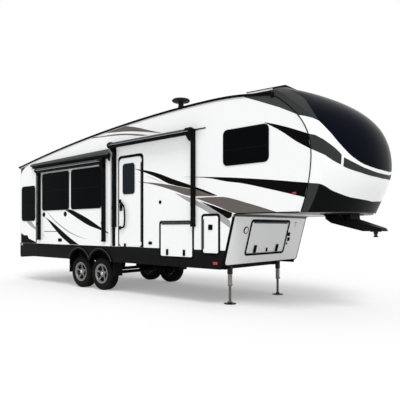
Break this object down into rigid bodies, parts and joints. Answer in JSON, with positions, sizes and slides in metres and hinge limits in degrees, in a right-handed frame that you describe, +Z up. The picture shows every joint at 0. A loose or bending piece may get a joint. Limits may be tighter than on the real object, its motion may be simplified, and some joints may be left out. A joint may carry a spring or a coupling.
{
  "type": "fifth wheel trailer",
  "caption": "Long fifth wheel travel trailer with a raised gooseneck bedroom, rounded front cap, slide-out room, awnings, hinged doors and hatches, tandem wheels and landing legs.",
  "frame": {"origin": "bottom centre of the bounding box, on the ground under the middle of the trailer", "axes": "+X forward, towards the pin box; +Y to the trailer's left; +Z up"},
  "size_m": [9.0718, 2.6574, 3.8909],
  "materials": {
    "tyre": "matt rubber",
    "wheel_alloy": "machined",
    "tinted_glass": "dark tint, gloss",
    "white_gelcoat": "gloss gelcoat",
    "pale_grey_panel": "gloss gelcoat",
    "black_plastic": "satin",
    "roof_membrane": "matt membrane",
    "deck_board": "sealed board",
    "dark_shroud": "satin",
    "zinc_steel": "bright zinc",
    "black_steel": "satin black"
  },
  "bodies": {
    "trailer": {"air_conditioner": "dark_shroud", "axle_front": "black_steel", "axle_rear": "black_steel", "bath_vent": "roof_membrane", "bedroom_deck": "deck_board", "bedroom_window_left": "tinted_glass", "bedroom_window_right": "tinted_glass", "chassis_rail_left": "black_steel", "chassis_rail_right": "black_steel", "floor": "deck_board", "front_cap": "white_gelcoat", "front_panel": "pale_grey_panel", "front_sill": "black_steel", "galley_vent": "roof_membrane", "galley_window": "tinted_glass", "kingpin": "black_steel", "landing_leg_left": "zinc_steel", "landing_leg_right": "zinc_steel", "living_window": "tinted_glass", "patio_awning": "dark_shroud", "pin_box": "black_steel", "rear_bumper": "black_steel", "rear_ladder": "zinc_steel", "rear_side_window": "tinted_glass", "rear_wall": "white_gelcoat", "roof": "roof_membrane", "skirt_left": "black_plastic", "skirt_right": "black_plastic", "springs_left": "black_steel", "springs_right": "black_steel", "tail_window": "tinted_glass", "tv_aerial": "dark_shroud", "underbelly": "black_plastic", "wall_left": "white_gelcoat", "wall_right": "white_gelcoat"},
    "wheel_left_front": {"rim_left_front": "wheel_alloy", "tyre_left_front": "tyre"},
    "wheel_left_rear": {"rim_left_rear": "wheel_alloy", "tyre_left_rear": "tyre"},
    "wheel_right_front": {"rim_right_front": "wheel_alloy", "tyre_right_front": "tyre"},
    "wheel_right_rear": {"rim_right_rear": "wheel_alloy", "tyre_right_rear": "tyre"},
    "entry": {"entry_door": "white_gelcoat", "entry_door_window": "tinted_glass", "grab_handle": "black_plastic"},
    "slide_out": {"slide_awning": "dark_shroud", "slide_room": "white_gelcoat", "slide_topper": "dark_shroud", "slide_window_front": "tinted_glass", "slide_window_rear": "tinted_glass"},
    "baggage_hatch_right": {"baggage_door_right": "white_gelcoat"},
    "baggage_hatch_left": {"baggage_door_left": "white_gelcoat"},
    "utility_hatch": {"utility_door": "white_gelcoat"},
    "nose_hatch": {"front_hatch": "pale_grey_panel"}
  },
  "joints": [
    {"name": "wheel_left_front_spin", "type": "hinge", "parent": "trailer", "child": "wheel_left_front", "pos_m": [-1.14413, 1.10237, 0.36], "axis": [0, 1, 0], "continuous": true},
    {"name": "wheel_left_rear_spin", "type": "hinge", "parent": "trailer", "child": "wheel_left_rear", "pos_m": [-1.89413, 1.10237, 0.36], "axis": [0, 1, 0], "continuous": true},
    {"name": "wheel_right_front_spin", "type": "hinge", "parent": "trailer", "child": "wheel_right_front", "pos_m": [-1.14413, -0.95763, 0.36], "axis": [0, 1, 0], "continuous": true},
    {"name": "wheel_right_rear_spin", "type": "hinge", "parent": "trailer", "child": "wheel_right_rear", "pos_m": [-1.89413, -0.95763, 0.36], "axis": [0, 1, 0], "continuous": true},
    {"name": "entry_door_swing", "type": "hinge", "parent": "trailer", "child": "entry", "pos_m": [0.23587, -1.15613, 1.869], "axis": [0, 0, -1], "range_deg": [-170, 0]},
    {"name": "slide_out_travel", "type": "slide", "parent": "trailer", "child": "slide_out", "axis": [0, -1, 0], "range_m": [0, 0.85]},
    {"name": "baggage_hatch_right_swing", "type": "hinge", "parent": "trailer", "child": "baggage_hatch_right", "pos_m": [1.17587, -1.16243, 1.435], "axis": [-1, 0, 0], "range_deg": [0, 100]},
    {"name": "baggage_hatch_left_swing", "type": "hinge", "parent": "trailer", "child": "baggage_hatch_left", "pos_m": [1.17587, 1.30717, 1.435], "axis": [1, 0, 0], "range_deg": [0, 100]},
    {"name": "utility_hatch_swing", "type": "hinge", "parent": "trailer", "child": "utility_hatch", "pos_m": [1.82587, -1.16243, 1.2325], "axis": [0, 0, -1], "range_deg": [0, 100]},
    {"name": "nose_hatch_swing", "type": "hinge", "parent": "trailer", "child": "nose_hatch", "pos_m": [2.49032, 0.03237, 1.4514], "axis": [0, -1, 0], "range_deg": [0, 85]}
  ]
}
